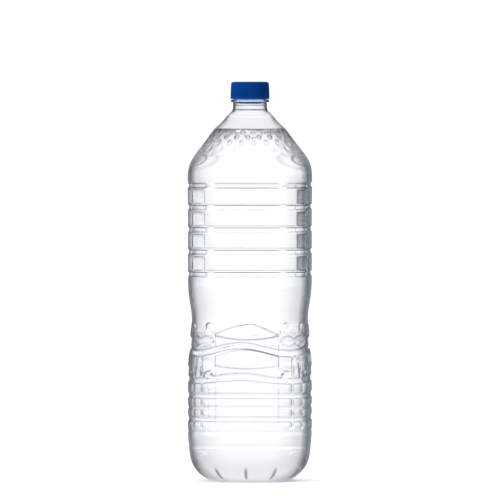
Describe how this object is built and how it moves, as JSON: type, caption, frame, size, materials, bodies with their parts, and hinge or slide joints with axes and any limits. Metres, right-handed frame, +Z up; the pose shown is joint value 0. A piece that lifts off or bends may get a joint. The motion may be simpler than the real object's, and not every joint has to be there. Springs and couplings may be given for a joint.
{
  "type": "water bottle",
  "caption": "Two-litre bottle of still water: clear PET with a rounded square body, grooved label zone and ribbed grip, full to the shoulder and shut with a blue screw cap.",
  "frame": {"origin": "middle of the standing ring under the base, on the surface that the bottle stands on", "axes": "+Z up through the neck and the cap, -Y out of the front face, +X to the right of that face"},
  "size_m": [0.0942, 0.0942, 0.307],
  "materials": {
    "clear_pet": "blow-moulded, clear and glossy",
    "still_water": "clear and colourless",
    "blue_polyethylene": "injection-moulded, satin, finely ribbed"
  },
  "bodies": {
    "root": {"bottle": "clear_pet", "water": "still_water", "cap": "blue_polyethylene"}
  },
  "joints": []
}
